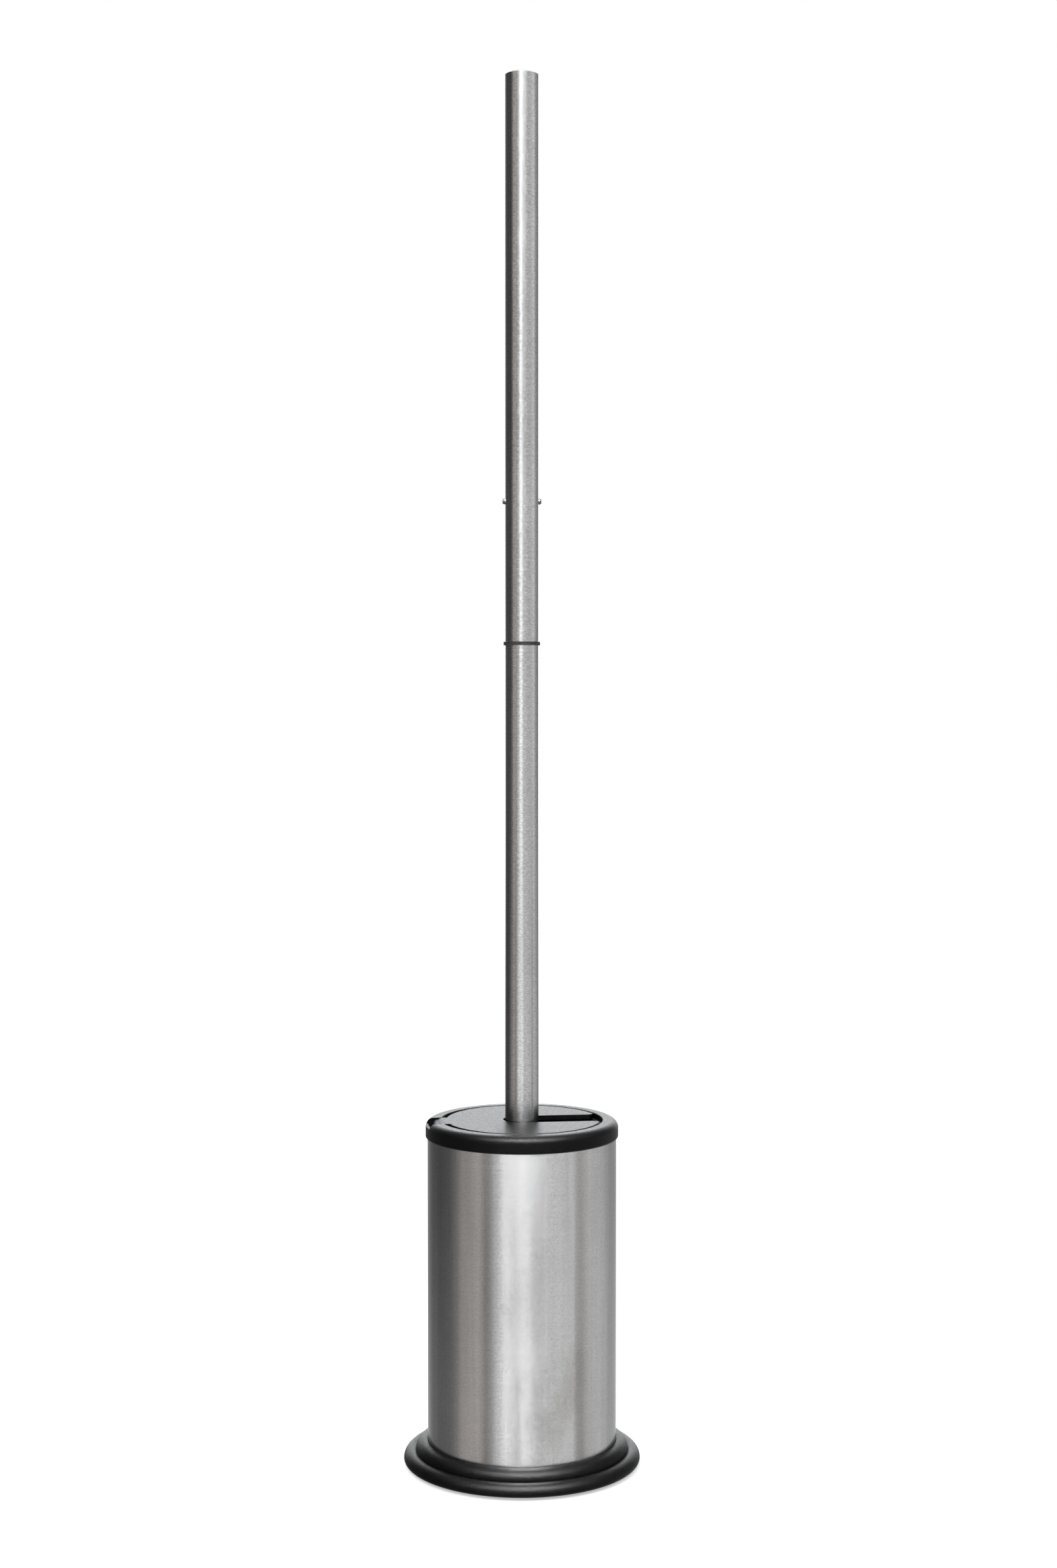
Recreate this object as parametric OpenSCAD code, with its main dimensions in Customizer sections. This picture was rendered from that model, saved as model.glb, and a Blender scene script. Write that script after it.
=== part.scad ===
// Toilet brush holder: a steel cylinder on a stepped black base, with a lift-out
// inner cup, a collar with a slotted flip lid, and a brush on a long two-part
// steel handle. Z is up, the origin is the centre of the base's underside,
// the lid's hinge is at -X and its slot opens towards +X.

/* [Base] */
// Diameter of the base over its lower ring
base_d = 117.2; // [112:0.2:124]
// Diameter of the base's upper ring
base_step_d = 105.2; // [103:0.2:107]
// Height of the base's lower ring above the floor
base_ring_top = 7.6; // [7.2:0.1:8]
// Height of the base's upper ring above the floor
base_top = 12.5; // [12.3:0.1:13.5]

/* [Holder body] */
// Outer diameter of the steel cylinder
body_d = 93.4; // [93:0.2:95]
// Wall of the steel cylinder
body_wall = 0.8; // [0.5:0.1:0.8]
// Height of the steel cylinder's top edge
body_top = 163.1; // [155:0.1:180]

/* [Inner cup] */
// Outer diameter of the lift-out cup
cup_d = 86.8; // [84:0.2:86.8]
// Wall and floor of the lift-out cup
cup_wall = 1.4; // [1:0.1:2]

/* [Collar] */
// Outer diameter of the collar
collar_d = 95.3; // [94.7:0.1:96]
// Height of the collar's visible band
collar_h = 8.4; // [8:0.1:10]
// Diameter of the recess that the lid lies in
opening_d = 79.8; // [79.4:0.2:80.4]
// Radius of the collar's rounded outer shoulder
shoulder_r = 3.5; // [2.5:0.1:3.6]
// Width of the notch that the lid's tongue drops into
notch_w = 17.8; // [17.6:0.1:18.6]

/* [Lid] */
// Diameter of the flip lid
lid_d = 77.8; // [77:0.2:78]
// Thickness of the flip lid
lid_t = 2.4; // [2:0.1:2.5]
// Width of the slot that passes the handle
slot_w = 17.6; // [17.2:0.1:18]
// Radius at the two corners of the slot's open end
slot_corner_r = 3; // [2:0.2:4]
// Width of the tongue that carries the hinge barrel
tongue_w = 16.8; // [15:0.1:17]
// Diameter of the hinge pin
hinge_pin_d = 2; // [1.8:0.1:2.2]

/* [Handle] */
// Outer diameter of the handle tubes
handle_d = 16.6; // [16:0.1:16.8]
// Wall of the handle tubes
handle_wall = 1; // [0.8:0.1:1.2]
// Height of the joint between the two tubes
joint_z = 407.5; // [360:0.5:440]
// Height of the top of the handle
handle_top = 686.4; // [640:0.2:720]
// Rise of the domed cap
dome_h = 4; // [3:0.1:5]
// Outer diameter of the joint ring
joint_ring_d = 17.9; // [17:0.1:18.6]
// Visible thickness of the joint ring
joint_ring_t = 1.7; // [1:0.1:2]
// Height of the cross pin in the upper tube
cross_pin_z = 476; // [460:1:482]
// Diameter of the cross pin
cross_pin_d = 3; // [2:0.1:4]
// Length of the cross pin from end to end
cross_pin_len = 19; // [17.6:0.1:20]

/* [Brush head] */
// Diameter over the bristles
head_d = 70; // [64:1:72]
// Height of the lowest bristle tips
head_bottom = 9.2; // [9:0.1:12]
// Height of the bristles' upper edge
head_top = 80; // [74:1:82]
// Diameter of the core that the bristles are set in
core_d = 17; // [15:0.5:19]

/* [Hidden] */
$fn = 96;
eps = 0.01;
// How far a cut runs past the surface that it opens
over = 1;
// Play of a turning or sliding fit, on the radius
running = 0.08;
// Play between pieces that are glued or pressed together, on the radius
seat = 0.02;
// Gap between pieces of different bodies that lie on each other
rest_gap = 0.1;

base_r = base_d / 2;
base_step_r = base_step_d / 2;
base_under = 1.2;
base_widest_z = 3.2;
base_roll_r = base_ring_top - base_widest_z;
base_foot_r = base_widest_z - base_under;
step_roll_r = 5;
groove_z = base_ring_top - 0.5;
shell_seat_z = 4;
shell_slot_play = 0.25;
inner_edge_r = 0.5;
body_r = body_d / 2;
body_bore_r = body_r - body_wall;

ballast_r = 43.9;
ballast_z = 2.6;
ballast_top = 6.4;
ballast_lip_top = 6.6;

foot_ring_r_in = 47;
foot_ring_r_out = 52;
foot_ring_h = 2.4;

cup_r = cup_d / 2;
cup_floor_z = 7;
cup_inner_edge_r = 3;

collar_z = body_top + rest_gap;
collar_top = collar_z + collar_h;
collar_r = collar_d / 2;
opening_r = opening_d / 2;
collar_foot_r = 0.8;
rim_edge_r = 0.5;
skirt_r_out = 45.4;
skirt_h = 12;
ledge_r = 38;
ledge_t = 2;
ledge_top = collar_top - 2.7;
notch_floor_z = collar_top - 6.8;
notch_wall_x = -46;
notch_reach = 10;
notch_wall_top = collar_top - 2.4;

lid_r = lid_d / 2;
lid_z = collar_top - lid_t;
lid_edge_r = 0.5;
// The lid's hinge side is trimmed by a second, offset disc, so that it clears
// the collar when it swings up
lid_trim_r = 40;
lid_trim_x = 2.4;
slot_end_x = -0.5;
hinge_x = -41.5;
hinge_z = collar_top - 3.5;
hinge_pin_r = hinge_pin_d / 2;
hinge_pin_len = 24;
barrel_r = 2.7;
tongue_under = hinge_z + 1.3;
tongue_root_x = -34;
tongue_flat_end_x = -38.6;
tongue_bend_x = -40.4;
tongue_bend_drop = 0.35;

tube_r = handle_d / 2;
tube_bore_r = tube_r - handle_wall;
tube_bottom = 88;
plug_r = tube_bore_r - seat;
ring_bottom = joint_z - rest_gap - joint_ring_t;
plug_len = 31;
stud_r = 3;
stud_below = 26;
stud_above = 28;
cross_bore_len = 30;
// Length of the taper at each end of the cross pin
pin_taper = 0.8;
spigot_len = 82;
spigot_bore_len = 32;
dome_z = handle_top - dome_h;
dome_sphere_r = (tube_r * tube_r + dome_h * dome_h) / (2 * dome_h);
cap_plug_len = 12;
cap_wall = 1.2;

adapter_r = 9.2;
adapter_foot_z = 81;
adapter_spigot_top = 110;
head_r = head_d / 2;
core_r = core_d / 2;
core_bottom = 15;
core_tip_h = 2;
core_tip_step = 1.5;
// Gap between the bristles' stand-in solid and the core
bristle_gap = 0.05;
head_stud_bottom = 60;
head_stud_top = 102;
head_bottom_r = 24;
head_top_r = 26;
head_widest_low = 22;
head_widest_high = 66;

// A hollow cylinder between two heights
module ring(r_out, r_in, z0, z1) {
    translate([0, 0, z0])
        difference() {
            cylinder(r = r_out, h = z1 - z0);
            translate([0, 0, -over])
                cylinder(r = r_in, h = z1 - z0 + 2 * over);
        }
}

// A solid cylinder between two heights
module rod(r, z0, z1) {
    translate([0, 0, z0])
        cylinder(r = r, h = z1 - z0);
}

// A rectangle given by its two corners
module rect(x0, y0, x1, y1) {
    translate([x0, y0])
        square([x1 - x0, y1 - y0]);
}

// A cylinder along Y, centred on y = 0
module cross_rod_y(x, z, r, len) {
    translate([x, len / 2, z])
        rotate([90, 0, 0])
            cylinder(r = r, h = len);
}

// Section of the base: two rounded steps, one above the other
module base_section() {
    step_x = base_step_r - step_roll_r;
    seat_x = body_r + shell_slot_play;
    rect(0, base_under, base_r - base_foot_r, base_widest_z);
    rect(0, base_widest_z - eps, base_r - base_roll_r, groove_z);
    // the lower step is widest near the floor, with a tight curve below that
    translate([base_r - base_foot_r, base_widest_z])
        circle(base_foot_r);
    intersection() {
        translate([base_r - base_roll_r, base_widest_z])
            circle(base_roll_r);
        rect(0, base_widest_z, base_r + over, base_top);
    }
    translate([step_x, base_top - step_roll_r])
        circle(step_roll_r);
    rect(0, groove_z - eps, step_x, base_top - inner_edge_r);
    rect(step_x - eps, groove_z - over, base_step_r, base_top - step_roll_r);
    rect(seat_x + inner_edge_r, groove_z, step_x, base_top);
    translate([seat_x + inner_edge_r, base_top - inner_edge_r])
        circle(inner_edge_r);
}

module base_foot() {
    color([0.08, 0.08, 0.085])
        difference() {
            rotate_extrude()
                base_section();
            // room for the cup above the ballast
            rod(body_bore_r - shell_slot_play, ballast_lip_top, base_top + over);
            // slot that the steel cylinder stands in
            ring(body_r + shell_slot_play, body_bore_r - shell_slot_play - eps,
                 shell_seat_z, base_top + over);
            // recess for the ballast disc
            rod(ballast_r + shell_slot_play, ballast_z, base_top);
            // groove for the anti-slip ring
            ring(foot_ring_r_out + shell_slot_play, foot_ring_r_in - shell_slot_play,
                 0, foot_ring_h);
        }
}

module anti_slip_ring() {
    color([0.16, 0.16, 0.16])
        ring(foot_ring_r_out, foot_ring_r_in, 0, foot_ring_h);
}

module base_weight() {
    color([0.42, 0.43, 0.45])
        rod(ballast_r, ballast_z, ballast_top);
}

module steel_shell() {
    color([0.72, 0.72, 0.73])
        ring(body_r, body_bore_r, shell_seat_z, body_top);
}

// Section of a cup, with a rounded outer bottom edge
module cup_section() {
    difference() {
        union() {
            rect(0, cup_floor_z, cup_r - cup_inner_edge_r, collar_z);
            rect(0, cup_floor_z + cup_inner_edge_r, cup_r, collar_z);
            translate([cup_r - cup_inner_edge_r, cup_floor_z + cup_inner_edge_r])
                circle(cup_inner_edge_r);
        }
        rect(-over, cup_floor_z + cup_wall, cup_r - cup_wall, collar_z + over);
    }
}

module inner_cup() {
    color([0.12, 0.12, 0.13])
        rotate_extrude()
            cup_section();
}

// Section of the collar: band, skirt that centres it, and ledge under the lid
module collar_section() {
    shoulder_x = collar_r - shoulder_r;
    foot_x = collar_r - collar_foot_r;
    translate([shoulder_x, collar_top - shoulder_r])
        circle(shoulder_r);
    translate([foot_x, collar_z + collar_foot_r])
        circle(collar_foot_r);
    rect(opening_r, collar_z, foot_x, collar_top - shoulder_r);
    rect(opening_r, collar_z + collar_foot_r, collar_r, collar_top - shoulder_r);
    rect(opening_r + rim_edge_r, collar_z, shoulder_x, collar_top);
    rect(opening_r, collar_z, shoulder_x, collar_top - rim_edge_r);
    translate([opening_r + rim_edge_r, collar_top - rim_edge_r])
        circle(rim_edge_r);
    rect(cup_r + seat, collar_z - skirt_h, skirt_r_out, collar_z + eps);
    rect(ledge_r, ledge_top - ledge_t, opening_r + eps, ledge_top);
}

module collar() {
    notch_depth = collar_top - notch_floor_z + over;
    color([0.07, 0.07, 0.075])
        difference() {
            rotate_extrude()
                collar_section();
            // notch for the tongue, open towards the lid
            translate([notch_wall_x, -notch_w / 2, notch_floor_z])
                cube([notch_reach, notch_w, notch_depth]);
            // the notch's thin outer wall stands lower than the collar
            translate([-collar_r - over, -notch_w / 2, notch_wall_top])
                cube([collar_r + over + notch_wall_x + eps, notch_w, notch_depth]);
            // blind holes for the hinge pin, one in each side of the notch
            cross_rod_y(hinge_x, hinge_z, hinge_pin_r + seat, hinge_pin_len);
        }
}

module hinge_pin() {
    color([0.62, 0.63, 0.65])
        cross_rod_y(hinge_x, hinge_z, hinge_pin_r, hinge_pin_len);
}

// A disc with a rounded top edge
module lid_disc(r) {
    rotate_extrude() {
        rect(0, lid_z, r, collar_top - lid_edge_r);
        rect(0, lid_z, r - lid_edge_r, collar_top);
        translate([r - lid_edge_r, collar_top - lid_edge_r])
            circle(lid_edge_r);
    }
}

// Outline of the slot, open at +X, with its two outer corners rounded
module slot_outline() {
    half = slot_w / 2;
    corner_y = half + slot_corner_r;
    corner_x = sqrt(pow(lid_r - slot_corner_r, 2) - pow(corner_y, 2));
    // the corners' waste reaches this many times as far out as their centres
    out = 1.3;
    translate([slot_end_x, 0])
        circle(half);
    rect(slot_end_x, -half, lid_r + over, half);
    for (side = [-1, 1])
        difference() {
            polygon([[corner_x, side * (half - over)], [corner_x, side * corner_y],
                     [corner_x * out, side * corner_y * out],
                     [corner_x * out, side * (half - over)]]);
            translate([corner_x, side * corner_y])
                circle(slot_corner_r);
        }
}

// Tongue that reaches from the disc to the barrel round the hinge pin
module tongue() {
    barrel_top = hinge_z + barrel_r;
    translate([0, tongue_w / 2, 0])
        rotate([90, 0, 0])
            linear_extrude(tongue_w) {
                translate([hinge_x, hinge_z])
                    circle(barrel_r);
                polygon([[tongue_root_x, lid_z], [tongue_root_x, collar_top],
                         [tongue_flat_end_x, collar_top],
                         [tongue_bend_x, collar_top - tongue_bend_drop],
                         [hinge_x, barrel_top], [hinge_x, tongue_under]]);
            }
}

module lid() {
    color([0.09, 0.09, 0.095])
        difference() {
            union() {
                intersection() {
                    lid_disc(lid_r);
                    translate([lid_trim_x, 0, 0])
                        lid_disc(lid_trim_r);
                }
                tongue();
            }
            translate([0, 0, lid_z - over])
                linear_extrude(lid_t + 2 * over)
                    slot_outline();
            cross_rod_y(hinge_x, hinge_z, hinge_pin_r + running, hinge_pin_len);
        }
}

module lower_tube() {
    color([0.72, 0.72, 0.73])
        ring(tube_r, tube_bore_r, tube_bottom, ring_bottom);
}

module joint_ring() {
    color([0.06, 0.06, 0.06])
        ring(joint_ring_d / 2, stud_r + seat, ring_bottom, ring_bottom + joint_ring_t);
}

module lower_insert() {
    color([0.55, 0.56, 0.58])
        ring(plug_r, stud_r + seat, ring_bottom - plug_len, ring_bottom);
}

module joint_stud() {
    color([0.62, 0.63, 0.65])
        rod(stud_r, ring_bottom - stud_below, joint_z + stud_above);
}

module upper_tube() {
    color([0.72, 0.72, 0.73])
        difference() {
            ring(tube_r, tube_bore_r, joint_z, dome_z);
            cross_bore();
        }
}

// A bore along X for the cross pin
module cross_bore() {
    translate([-cross_bore_len / 2, 0, cross_pin_z])
        rotate([0, 90, 0])
            cylinder(r = cross_pin_d / 2 + seat, h = cross_bore_len);
}

// Dome over the end of the tube, hollow, with a plug that goes inside
module top_cap() {
    color([0.78, 0.78, 0.79])
        union() {
            intersection() {
                translate([0, 0, handle_top - dome_sphere_r])
                    sphere(dome_sphere_r);
                rod(tube_r, dome_z, handle_top + over);
            }
            ring(plug_r, plug_r - cap_wall, dome_z - cap_plug_len, dome_z + eps);
        }
}

module upper_spigot() {
    color([0.55, 0.56, 0.58])
        difference() {
            rod(plug_r, joint_z, joint_z + spigot_len);
            rod(stud_r + running, joint_z - over, joint_z + spigot_bore_len);
            cross_bore();
        }
}

// Pin along X, tapered at both ends
module cross_pin() {
    pin_r = cross_pin_d / 2;
    tip_r = pin_r - pin_taper / 2;
    color([0.42, 0.42, 0.43])
        translate([-cross_pin_len / 2, 0, cross_pin_z])
            rotate([0, 90, 0])
                rotate_extrude()
                    polygon([[0, 0], [tip_r, 0], [pin_r, pin_taper],
                             [pin_r, cross_pin_len - pin_taper],
                             [tip_r, cross_pin_len], [0, cross_pin_len]]);
}

// Socket between the tube and the head: a spigot inside the tube and a collar below
module head_adapter() {
    color([0.1, 0.1, 0.11])
        difference() {
            union() {
                rod(plug_r, tube_bottom - eps, adapter_spigot_top);
                rod(adapter_r, adapter_foot_z, tube_bottom);
            }
            rod(stud_r + seat, adapter_foot_z - over, head_stud_top);
        }
}

module head_core() {
    color([0.1, 0.1, 0.11])
        difference() {
            union() {
                rod(core_r, core_bottom, adapter_foot_z);
                rod(core_r - core_tip_step, core_bottom - core_tip_h, core_bottom + eps);
            }
            rod(stud_r + seat, head_stud_bottom, adapter_foot_z + over);
        }
}

module head_stud() {
    color([0.62, 0.63, 0.65])
        rod(stud_r, head_stud_bottom, head_stud_top);
}

// Outer shape of the bristles, as one plain solid round the core
module bristles() {
    color([0.93, 0.93, 0.9])
        difference() {
            rotate_extrude()
                polygon([[0, head_bottom], [head_bottom_r, head_bottom],
                         [head_r, head_widest_low], [head_r, head_widest_high],
                         [head_top_r, head_top], [0, head_top]]);
            rod(core_r + bristle_gap, core_bottom - core_tip_h - bristle_gap, head_top + over);
        }
}

base_foot();
anti_slip_ring();
base_weight();
steel_shell();
inner_cup();
collar();
hinge_pin();
lid();
lower_tube();
joint_ring();
lower_insert();
joint_stud();
upper_tube();
top_cap();
upper_spigot();
cross_pin();
head_adapter();
head_core();
head_stud();
bristles();
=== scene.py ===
"""Toilet brush holder: materials, bristles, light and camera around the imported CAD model."""
import math
import random

import bmesh
import bpy
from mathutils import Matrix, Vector


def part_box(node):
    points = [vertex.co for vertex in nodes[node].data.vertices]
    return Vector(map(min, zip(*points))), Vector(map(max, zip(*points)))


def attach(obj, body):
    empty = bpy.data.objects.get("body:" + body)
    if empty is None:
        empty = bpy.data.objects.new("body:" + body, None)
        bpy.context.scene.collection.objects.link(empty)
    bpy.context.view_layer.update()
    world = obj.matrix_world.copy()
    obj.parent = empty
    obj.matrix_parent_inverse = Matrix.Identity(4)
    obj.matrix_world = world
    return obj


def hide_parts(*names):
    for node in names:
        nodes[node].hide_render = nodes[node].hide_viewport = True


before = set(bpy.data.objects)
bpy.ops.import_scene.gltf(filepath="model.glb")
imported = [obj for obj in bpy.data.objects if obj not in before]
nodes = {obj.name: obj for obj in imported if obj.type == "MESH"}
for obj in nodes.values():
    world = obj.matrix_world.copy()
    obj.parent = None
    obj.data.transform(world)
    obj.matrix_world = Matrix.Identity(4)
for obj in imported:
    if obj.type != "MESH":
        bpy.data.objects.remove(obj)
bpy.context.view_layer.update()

# ---------------------------------------------------------------- camera

# Where the camera stands, from the middle of the base
CAMERA_DISTANCE = 1.169
CAMERA_HEIGHT = 0.387
CAMERA_AZIMUTH = math.radians(-6.5)
CAMERA_PITCH = math.radians(2.42)
CAMERA_YAW = math.radians(-0.16)
CAMERA_LENS_MM = 54.6
CAMERA_SENSOR_MM = 36


def make_camera():
    data = bpy.data.cameras.new("camera")
    data.lens = CAMERA_LENS_MM
    data.sensor_width = CAMERA_SENSOR_MM
    data.sensor_fit = "AUTO"
    camera = bpy.data.objects.new("camera", data)
    camera.location = (CAMERA_DISTANCE * math.sin(CAMERA_AZIMUTH),
                       -CAMERA_DISTANCE * math.cos(CAMERA_AZIMUTH), CAMERA_HEIGHT)
    camera.rotation_euler = (math.pi / 2 - CAMERA_PITCH, 0, CAMERA_AZIMUTH + CAMERA_YAW)
    bpy.context.scene.collection.objects.link(camera)
    bpy.context.scene.camera = camera


# ---------------------------------------------------------------- light and floor

# The room that shiny surfaces mirror is made of rings of light, one above another. A ring is a
# list of stops, (angle, brightness) or (angle, brightness, warmth). The angle goes round the
# object in degrees: 0 is the camera's own side, negative is its left, 180 is behind the object.

# The lowest ring
LOW = [(-180, 1.0), (-160, 0.55), (-143, 0.31), (-118, 0.20), (-98, 0.225, 0.3), (-86, 0.33, 0.8),
       (-78, 0.51, 1), (-54, 0.60, 1), (-45, 0.25, 0.8), (-38, 0.42, 0.2), (-30, 0.85), (-22, 1.27),
       (-17, 1.12), (-11, 0.70), (-4, 0.69), (2, 1.12), (9, 0.98), (15, 0.85), (22, 0.73),
       (29, 0.90), (42, 0.92), (56, 0.82), (64, 0.90), (71, 0.41, 0.5), (79, 0.35, 0.6),
       (88, 0.64, 0.3), (118, 0.72), (136, 0.62), (160, 0.75), (180, 1.0)]
# The share of it that is left higher up, towards the horizon
SHADE = [(-180, 0.6), (-127, 0.24), (-100, 0.30), (-83, 0.68), (-60, 0.59), (-38, 0.9), (-24, 1.0),
         (2, 1.08), (15, 0.93), (42, 0.81), (57, 0.76), (72, 0.87), (110, 0.94), (137, 0.61), (180, 0.6)]
# The ring at the horizon and above, with the bright sheet behind that the lid mirrors
LEVEL = [(-180, 4.2, -0.3), (-165, 3.2, -0.3), (-152, 0.45), (-135, 0.15), (-118, 0.08), (-97, 0.08),
         (-82, 0.06, 0.5), (-72, 0.12, 1), (-60, 0.44, 1), (-45, 0.56, 0.8), (-34, 0.48, 0.2),
         (-20, 0.80), (-9, 1.9), (-2, 1.8), (8, 0.90), (24, 0.86), (40, 0.76), (55, 0.72),
         (70, 0.82), (88, 0.96), (105, 0.52), (130, 0.33), (150, 0.5), (163, 3.0, -0.3), (180, 4.2, -0.3)]
# The ring higher up, where the long softbox hangs on the camera's side
CEILING = [(-180, 2.8), (-120, 0.5), (-60, 0.5), (-34, 9.0), (-20, 82.0), (8, 100.0), (26, 112.0),
           (38, 9.0), (60, 0.8), (120, 0.8), (180, 2.8)]
# Straight up, above the softbox
ZENITH = [(-180, 1.0), (180, 1.0)]
# Where each ring starts and where it has taken over, in degrees above the horizon
SHADE_BAND = (-19, -11)
LEVEL_BAND = (-10, -2)
CEILING_BAND = (36, 50)
ZENITH_BAND = (58, 76)
# What a warmth of 1 adds to red, green and blue, as a share
WARM = (0.06, -0.006, -0.054)
# What the camera sees behind the object
BACKDROP = (1.0, 1.0, 1.0, 1)

KEY_PLACE = (-0.9, -1.5, 1.9)
KEY_TARGET = (0, 0, 0.2)
KEY_SIZE = (1.2, 1.2)
KEY_WATTS = 12
FLOOR_REACH = 12
# A little light of the floor's own, so that the contact shadow stays faint
FLOOR_GLOW = 0.4


def ring_of_light(add, link, around, stops):
    """A colour that follows the place round the room, from a list of stops."""
    node = add("ShaderNodeValToRGB")
    elements = node.color_ramp.elements
    for index, (degrees, level, *warmth) in enumerate(stops):
        place = (degrees + 180) / 360
        stop = elements[index] if index < 2 else elements.new(place)
        stop.position = place
        share = warmth[0] if warmth else 0
        stop.color = tuple(level * (1 + share * change) for change in WARM) + (1,)
    link(around, node.inputs["Fac"])
    return node.outputs["Color"]


def blend_above(add, link, rise, band, below, above):
    """The colour below, changing to the one above between the band's two elevations."""
    height = add("ShaderNodeMapRange")
    height.interpolation_type = "SMOOTHSTEP"
    height.inputs["From Min"].default_value = math.sin(math.radians(band[0]))
    height.inputs["From Max"].default_value = math.sin(math.radians(band[1]))
    link(rise, height.inputs["Value"])
    blend = add("ShaderNodeMix")
    blend.data_type = "RGBA"
    link(height.outputs["Result"], blend.inputs["Factor"])
    link(below, blend.inputs["A"])
    link(above, blend.inputs["B"])
    return blend.outputs["Result"]


def room_direction(add, link):
    """Where a ray goes: its place round the room, from 0 to 1, and the sine of its elevation."""
    direction = add("ShaderNodeTexCoord")
    turned = add("ShaderNodeVectorRotate")
    turned.rotation_type = "Z_AXIS"
    # turns the camera's own side onto +X
    turned.inputs["Angle"].default_value = math.pi / 2 - CAMERA_AZIMUTH
    link(direction.outputs["Generated"], turned.inputs["Vector"])
    split = add("ShaderNodeSeparateXYZ")
    link(turned.outputs["Vector"], split.inputs["Vector"])
    angle = add("ShaderNodeMath")
    angle.operation = "ARCTAN2"
    link(split.outputs["Y"], angle.inputs[0])
    link(split.outputs["X"], angle.inputs[1])
    share = add("ShaderNodeMapRange")
    share.inputs["From Min"].default_value = -math.pi
    share.inputs["From Max"].default_value = math.pi
    link(angle.outputs[0], share.inputs["Value"])
    return share.outputs["Result"], split.outputs["Z"]


def mirrored_room(add, link):
    """The rings of light, blended one into the next by elevation."""
    around, rise = room_direction(add, link)
    room = ring_of_light(add, link, around, LOW)
    shaded = multiply(add, link, room, ring_of_light(add, link, around, SHADE))
    room = blend_above(add, link, rise, SHADE_BAND, room, shaded)
    for band, stops in ((LEVEL_BAND, LEVEL), (CEILING_BAND, CEILING), (ZENITH_BAND, ZENITH)):
        room = blend_above(add, link, rise, band, room, ring_of_light(add, link, around, stops))
    return room


def make_world():
    """A plain white backdrop, except that glossy rays see the rings of light."""
    world = bpy.data.worlds.new("studio")
    bpy.context.scene.world = world
    world.use_nodes = True
    tree = world.node_tree
    tree.nodes.clear()
    add, link = tree.nodes.new, tree.links.new
    studio = add("ShaderNodeBackground")
    link(mirrored_room(add, link), studio.inputs["Color"])
    backdrop = add("ShaderNodeBackground")
    backdrop.inputs["Color"].default_value = BACKDROP
    path = add("ShaderNodeLightPath")
    mix = add("ShaderNodeMixShader")
    link(path.outputs["Is Glossy Ray"], mix.inputs["Fac"])
    link(backdrop.outputs["Background"], mix.inputs[1])
    link(studio.outputs["Background"], mix.inputs[2])
    output = add("ShaderNodeOutputWorld")
    link(mix.outputs["Shader"], output.inputs["Surface"])


def add_softbox(name, place, target, size, watts):
    data = bpy.data.lights.new(name, "AREA")
    data.shape = "RECTANGLE"
    data.size, data.size_y = size
    data.energy = watts
    lamp = bpy.data.objects.new(name, data)
    lamp.location = place
    lamp.rotation_euler = (Vector(target) - Vector(place)).to_track_quat("-Z", "Y").to_euler()
    # shiny surfaces mirror the softbox in the rings instead
    lamp.visible_glossy = False
    bpy.context.scene.collection.objects.link(lamp)


def make_floor():
    mesh = bpy.data.meshes.new("floor")
    corners = [(x * FLOOR_REACH, y * FLOOR_REACH, 0) for x, y in ((-1, -1), (1, -1), (1, 1), (-1, 1))]
    mesh.from_pydata(corners, [], [(0, 1, 2, 3)])
    floor = bpy.data.objects.new("floor", mesh)
    bpy.context.scene.collection.objects.link(floor)
    material, add, link, shader = new_material("floor_paper")
    tooth = noise(add, link, 900, 3)
    link(ramp(add, link, tooth, [(0.3, 0.955), (0.7, 0.975)]), shader.inputs["Base Color"])
    link(bump(add, link, tooth, 0.0001, 0.2), shader.inputs["Normal"])
    shader.inputs["Roughness"].default_value = 0.9
    shader.inputs["Specular IOR Level"].default_value = 0.0
    shader.inputs["Emission Color"].default_value = (1, 1, 1, 1)
    shader.inputs["Emission Strength"].default_value = FLOOR_GLOW
    mesh.materials.append(material)
    # shiny surfaces mirror the lowest ring instead, as on a small stand
    floor.visible_glossy = False


def make_light():
    make_world()
    add_softbox("key", KEY_PLACE, KEY_TARGET, KEY_SIZE, KEY_WATTS)


# ---------------------------------------------------------------- material helpers

def new_material(name):
    """A material with an empty Principled shader, and short names for building its nodes."""
    material = bpy.data.materials.new(name)
    material.use_nodes = True
    tree = material.node_tree
    return material, tree.nodes.new, tree.links.new, tree.nodes["Principled BSDF"]


def noise(add, link, scale, detail=3, stretch=(1, 1, 1), roughness=0.5, seed=(0, 0, 0)):
    """A noise texture in the object's own coordinates. scale is features a metre."""
    place = add("ShaderNodeTexCoord")
    mapping = add("ShaderNodeMapping")
    mapping.inputs["Scale"].default_value = stretch
    mapping.inputs["Location"].default_value = seed
    link(place.outputs["Object"], mapping.inputs["Vector"])
    texture = add("ShaderNodeTexNoise")
    texture.inputs["Scale"].default_value = scale
    texture.inputs["Detail"].default_value = detail
    texture.inputs["Roughness"].default_value = roughness
    link(mapping.outputs["Vector"], texture.inputs["Vector"])
    return texture.outputs["Fac"]


def ramp(add, link, source, stops):
    """source mapped through a list of (place, level or colour)."""
    node = add("ShaderNodeValToRGB")
    elements = node.color_ramp.elements
    for index, (place, value) in enumerate(stops):
        colour = value if isinstance(value, tuple) else (value, value, value)
        element = elements[index] if index < 2 else elements.new(place)
        element.position = place
        element.color = colour + (1,)
    link(source, node.inputs["Fac"])
    return node.outputs["Color"]


def multiply(add, link, first, second):
    """One colour times another."""
    node = add("ShaderNodeMix")
    node.data_type = "RGBA"
    node.blend_type = "MULTIPLY"
    node.inputs["Factor"].default_value = 1.0
    link(first, node.inputs["A"])
    link(second, node.inputs["B"])
    return node.outputs["Result"]


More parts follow.
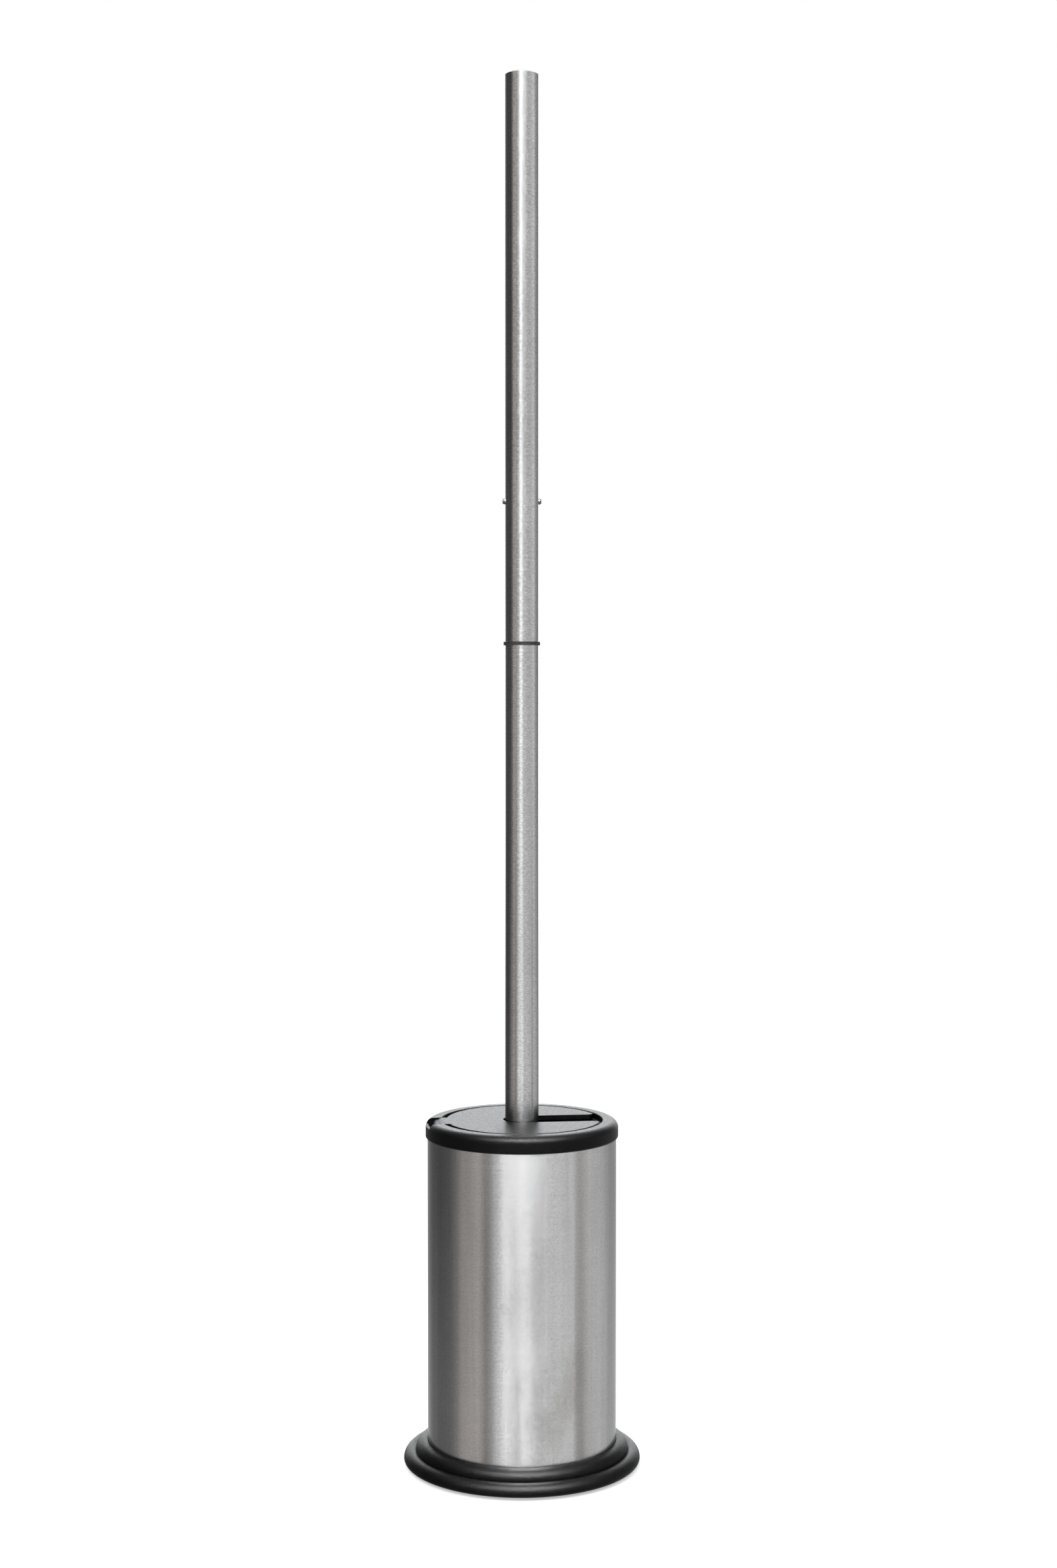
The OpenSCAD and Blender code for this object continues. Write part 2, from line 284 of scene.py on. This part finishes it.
def darken(add, link, tint, pattern, stops):
    """tint, times a pattern that is mapped through (place, level) stops."""
    return multiply(add, link, tint, ramp(add, link, pattern, stops))


def bump(add, link, source, height, strength, below=None):
    """Relief from a pattern, height metres high, on top of the relief below it."""
    node = add("ShaderNodeBump")
    node.inputs["Distance"].default_value = height
    node.inputs["Strength"].default_value = strength
    link(source, node.inputs["Height"])
    if below is not None:
        link(below, node.inputs["Normal"])
    return node.outputs["Normal"]


# ---------------------------------------------------------------- materials

# How deep the brushing is, in metres
LINE_DEPTH = 0.00001


def brushed_steel(name, base, roughness, line_scale, streak, anisotropy,
                  speckle=0.06, stain=0.0, painted_streaks=0.0):
    """Steel brushed round the Z axis: fine circular lines, and highlights that spread upright.

    A line is 1 / streak times as long as it is wide. The last three arguments are how dark the grit,
    the smudges and the upright streaks of painted reflection shade are."""
    material, add, link, shader = new_material(name)
    shader.inputs["Metallic"].default_value = 1.0
    shader.inputs["Anisotropic"].default_value = anisotropy
    shader.inputs["Anisotropic Rotation"].default_value = 0.25
    shader.inputs["Specular Tint"].default_value = (0.75, 0.75, 0.75, 1)
    tangent = add("ShaderNodeTangent")
    tangent.direction_type = "RADIAL"
    tangent.axis = "Z"
    link(tangent.outputs["Tangent"], shader.inputs["Tangent"])

    along = (streak, streak, 1)
    fine = noise(add, link, line_scale, 2, along, 0.6)
    broad = noise(add, link, line_scale * 0.22, 3, along, 0.55, (3, 1, 7))
    cloud = noise(add, link, 38, 4, (1, 1, 0.45), 0.55, (5, 2, 1))
    grit = noise(add, link, 1500, 3, (0.55, 0.55, 1), 0.75, (8, 3, 5))
    tint = ramp(add, link, fine, [(0.3, tuple(c * 0.94 for c in base)), (0.7, base)])
    tint = darken(add, link, tint, broad, [(0.25, 0.97), (0.75, 1.0)])
    tint = darken(add, link, tint, cloud, [(0.3, 0.90), (0.62, 1.0)])
    tint = darken(add, link, tint, grit, [(0.36, 1 - 2 * speckle), (0.62, 1.0)])
    if stain:
        tint = smudge(add, link, tint, stain)
    # painted reflection: darker upright streaks in the colour, standing in for fine bands of reflected
    # light
    if painted_streaks:
        upright = noise(add, link, 260, 4, (1, 1, 0.02), 0.6, (4, 7, 2))
        tint = darken(add, link, tint, upright, [(0.35, 1 - painted_streaks), (0.6, 1.0)])
    link(tint, shader.inputs["Base Color"])
    link(ramp(add, link, cloud, [(0.2, roughness * 0.9), (0.8, roughness * 1.12)]),
         shader.inputs["Roughness"])
    normal = bump(add, link, broad, LINE_DEPTH, 0.2)
    normal = bump(add, link, grit, LINE_DEPTH, 0.25, normal)
    link(bump(add, link, fine, LINE_DEPTH, 0.3, normal), shader.inputs["Normal"])
    return material


def smudge(add, link, tint, stain):
    """tint with a few large smudges, a little brown."""
    spots = noise(add, link, 17, 5, (1, 1, 0.6), 0.6, (9, 4, 2))
    dark = (1 - stain, 1 - stain * 1.05, 1 - stain * 1.15)
    return darken(add, link, tint, spots, [(0.26, dark), (0.42, (1.0, 1.0, 1.0))])


def grained_plastic(name, dark, light, grain, height, roughness, gloss):
    """Moulded plastic with a spark-eroded grain, height metres deep."""
    material, add, link, shader = new_material(name)
    shader.inputs["Specular IOR Level"].default_value = gloss
    pebble = noise(add, link, grain, 3, (1, 1, 1), 0.6)
    coarse = noise(add, link, grain * 0.35, 2, (1, 1, 1), 0.5, (2, 6, 3))
    dust = noise(add, link, 60, 5, (1, 1, 1), 0.65, (1, 8, 5))
    tint = ramp(add, link, pebble, [(0.35, dark), (0.75, light)])
    tint = darken(add, link, tint, dust, [(0.35, 0.8), (0.7, 1.0)])
    link(tint, shader.inputs["Base Color"])
    link(ramp(add, link, coarse, [(0.25, roughness * 0.85), (0.75, roughness * 1.18)]),
         shader.inputs["Roughness"])
    normal = bump(add, link, coarse, height, 0.15)
    link(bump(add, link, pebble, height, 0.7, normal), shader.inputs["Normal"])
    return material


def smooth_plastic(name, colour, roughness):
    material, add, link, shader = new_material(name)
    flow = noise(add, link, 90, 4, (1, 1, 0.4), 0.55)
    link(ramp(add, link, flow, [(0.3, tuple(c * 0.85 for c in colour)), (0.7, colour)]),
         shader.inputs["Base Color"])
    link(ramp(add, link, flow, [(0.3, roughness * 0.85), (0.7, roughness * 1.15)]),
         shader.inputs["Roughness"])
    link(bump(add, link, flow, 0.00003, 0.3), shader.inputs["Normal"])
    return material


def rubber():
    material, add, link, shader = new_material("rubber")
    shader.inputs["Specular IOR Level"].default_value = 0.25
    speck = noise(add, link, 1800, 3)
    link(ramp(add, link, speck, [(0.3, 0.008), (0.75, 0.022)]), shader.inputs["Base Color"])
    link(ramp(add, link, speck, [(0.3, 0.6), (0.75, 0.8)]), shader.inputs["Roughness"])
    link(bump(add, link, speck, 0.00005, 0.4), shader.inputs["Normal"])
    return material


def cast_metal():
    material, add, link, shader = new_material("weight_iron")
    shader.inputs["Metallic"].default_value = 0.9
    sand = noise(add, link, 700, 4)
    link(ramp(add, link, sand, [(0.3, 0.10), (0.75, 0.22)]), shader.inputs["Base Color"])
    link(ramp(add, link, sand, [(0.3, 0.5), (0.75, 0.75)]), shader.inputs["Roughness"])
    link(bump(add, link, sand, 0.0002, 0.5), shader.inputs["Normal"])
    return material


def nylon():
    """The bristles' pale plastic, which lets a little light through."""
    material, add, link, shader = new_material("bristle_nylon")
    shader.inputs["Subsurface Weight"].default_value = 0.15
    shader.inputs["Subsurface Radius"].default_value = (0.001, 0.001, 0.001)
    strand = noise(add, link, 260, 3, (1, 1, 1), 0.6)
    link(ramp(add, link, strand, [(0.3, (0.70, 0.70, 0.66)), (0.7, (0.88, 0.88, 0.85))]),
         shader.inputs["Base Color"])
    link(ramp(add, link, strand, [(0.3, 0.35), (0.7, 0.5)]), shader.inputs["Roughness"])
    return material


def paint(material, *names):
    """Puts the material in every slot of these CAD nodes."""
    for name in names:
        mesh = nodes[name].data
        if not mesh.materials:
            mesh.materials.append(material)
        for index in range(len(mesh.materials)):
            mesh.materials[index] = material


def paint_steel():
    # the body's last argument sets how dark its painted upright reflection streaks are
    body = brushed_steel("steel_body", (0.70, 0.70, 0.701), roughness=0.2, line_scale=2600,
                         streak=0.02, anisotropy=0.9, speckle=0.08, stain=0.28, painted_streaks=0.09)
    handle = brushed_steel("steel_handle", (0.66, 0.66, 0.661), roughness=0.19, line_scale=4200,
                           streak=0.05, anisotropy=0.7, speckle=0.14, stain=0.08)
    cap = brushed_steel("cap_steel", (0.86, 0.86, 0.85), roughness=0.22, line_scale=5200,
                        streak=0.1, anisotropy=0.3)
    pin = brushed_steel("pin_steel", (0.55, 0.55, 0.56), roughness=0.35, line_scale=3600,
                        streak=0.1, anisotropy=0.3)
    cross_pin = brushed_steel("cross_pin_steel", (0.22, 0.22, 0.225), roughness=0.4,
                              line_scale=3600, streak=0.1, anisotropy=0.2)
    paint(body, "steel_shell")
    paint(handle, "lower_tube", "upper_tube")
    paint(cap, "top_cap")
    paint(pin, "hinge_pin", "lower_insert", "joint_stud", "upper_spigot", "head_stud")
    paint(cross_pin, "cross_pin")


def paint_rest():
    black = grained_plastic("black_plastic", dark=(0.0012, 0.0012, 0.0013), light=(0.004, 0.004, 0.0043),
                            grain=2000, height=0.0002, roughness=0.38, gloss=0.10)
    paint(black, "base_foot", "collar", "lid")
    paint(smooth_plastic("cup_plastic", (0.02, 0.02, 0.021), roughness=0.4), "inner_cup")
    paint(smooth_plastic("head_plastic", (0.012, 0.012, 0.013), roughness=0.3),
          "head_adapter", "head_core")
    paint(rubber(), "anti_slip_ring", "joint_ring")
    paint(cast_metal(), "base_weight")


# ---------------------------------------------------------------- bristles

FILAMENT_R = 0.00022
# The tip's radius as a share of that, and where along the filament the taper starts
TIP_SHARE = 0.6
TAPER_START = 0.55
# How far the tips stay inside the CAD solid's outline
OUTLINE_GAP = FILAMENT_R * 2
TUFT_ROWS = 13
TUFTS_IN_ROW = 20
FILAMENTS_IN_TUFT = 13
TUFT_R = 0.0016
# How far the end rows are from the core's ends
LOWEST_ROW = 0.002
HIGHEST_ROW = 0.004
ROOT_DEPTH = 0.0006
# Rise over run: how much more the highest row leans up than the lowest, and the random part
LEAN_RANGE = 0.62
LEAN_SCATTER = 0.10
# The same to the side, both for the tuft's own fan and for the random part
FAN = 0.07
MAX_LENGTH = 0.045
LENGTH_STEP = 0.0005
LENGTH_SCATTER = 0.0014
SAG = 0.0006
# The head's ends: the radius at the very end, and the height over which it grows to full
FOOT_R, FOOT_HEIGHT = 0.024, 0.0128
CROWN_R, CROWN_HEIGHT = 0.026, 0.014


def bristle_reach(z, low, high):
    """The radius of the head's outline at height z."""
    full = (high.x - low.x) / 2
    if z < low.z + FOOT_HEIGHT:
        return FOOT_R + (full - FOOT_R) * (z - low.z) / FOOT_HEIGHT
    if z > high.z - CROWN_HEIGHT:
        return CROWN_R + (full - CROWN_R) * (high.z - z) / CROWN_HEIGHT
    return full


def free_length(root, heading, low, high):
    """How long a filament can be before it leaves the head's outline."""
    length = 0.0
    while length < MAX_LENGTH:
        tip = root + heading * (length + LENGTH_STEP)
        if math.hypot(tip.x, tip.y) > bristle_reach(tip.z, low, high) - OUTLINE_GAP:
            break
        if not low.z + OUTLINE_GAP < tip.z < high.z - OUTLINE_GAP:
            break
        length += LENGTH_STEP
    return length


def add_filament(mesh, draw, turn, root_z, core_r, lean, low, high):
    """One tapered three-sided filament from the core outwards."""
    outward = Vector((math.cos(turn), math.sin(turn), 0))
    aside = Vector((-math.sin(turn), math.cos(turn), 0))
    up = Vector((0, 0, 1))
    spread = TUFT_R * math.sqrt(draw.random())
    around = draw.random() * 2 * math.pi
    root = (outward * (core_r - ROOT_DEPTH) + up * (root_z + spread * math.sin(around))
            + aside * spread * math.cos(around))
    rise = lean + draw.uniform(-LEAN_SCATTER, LEAN_SCATTER)
    swing = math.cos(around) * FAN + draw.uniform(-FAN, FAN)
    heading = (outward + up * rise + aside * swing).normalized()
    length = free_length(root, heading, low, high) - draw.random() * LENGTH_SCATTER
    sag = draw.uniform(-SAG, SAG)
    corners = [around + corner * 2 * math.pi / 3 for corner in range(3)]
    rings = []
    for share, radius in ((0.0, FILAMENT_R), (TAPER_START, FILAMENT_R), (1.0, FILAMENT_R * TIP_SHARE)):
        centre = root + heading * length * share + aside * sag * share * share
        rings.append([mesh.verts.new(centre + (aside * math.cos(a) + up * math.sin(a)) * radius)
                      for a in corners])
    for near, far in zip(rings, rings[1:]):
        for i in range(3):
            j = (i + 1) % 3
            mesh.faces.new((near[i], near[j], far[j], far[i]))
    mesh.faces.new(rings[-1])
    mesh.faces.new(rings[0][::-1])


def plant_tufts(mesh):
    """Staggered rows of tufts round the core."""
    draw = random.Random(7)
    low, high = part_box("bristles")
    core_low, core_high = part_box("head_core")
    core_r = (core_high.x - core_low.x) / 2
    span = (core_high.z - HIGHEST_ROW) - (core_low.z + LOWEST_ROW)
    for row in range(TUFT_ROWS):
        share = row / (TUFT_ROWS - 1)
        root_z = core_low.z + LOWEST_ROW + span * share
        lean = (share - 0.5) * LEAN_RANGE
        for tuft in range(TUFTS_IN_ROW):
            turn = 2 * math.pi * (tuft + 0.5 * (row % 2)) / TUFTS_IN_ROW
            for _ in range(FILAMENTS_IN_TUFT):
                add_filament(mesh, draw, turn, root_z, core_r, lean, low, high)


def make_bristles():
    """Fine filaments in tufts, fanning up at the top of the head and down at its bottom."""
    mesh = bmesh.new()
    plant_tufts(mesh)
    data = bpy.data.meshes.new("bristle_tufts")
    mesh.to_mesh(data)
    mesh.free()
    piece = bpy.data.objects.new("bristle_tufts", data)
    bpy.context.scene.collection.objects.link(piece)
    data.materials.append(nylon())
    for face in data.polygons:
        face.use_smooth = True
    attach(piece, "brush")
    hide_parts("bristles")


# ---------------------------------------------------------------- build

bpy.context.scene.view_settings.view_transform = "Standard"
make_camera()
make_light()
make_floor()
paint_steel()
paint_rest()
make_bristles()
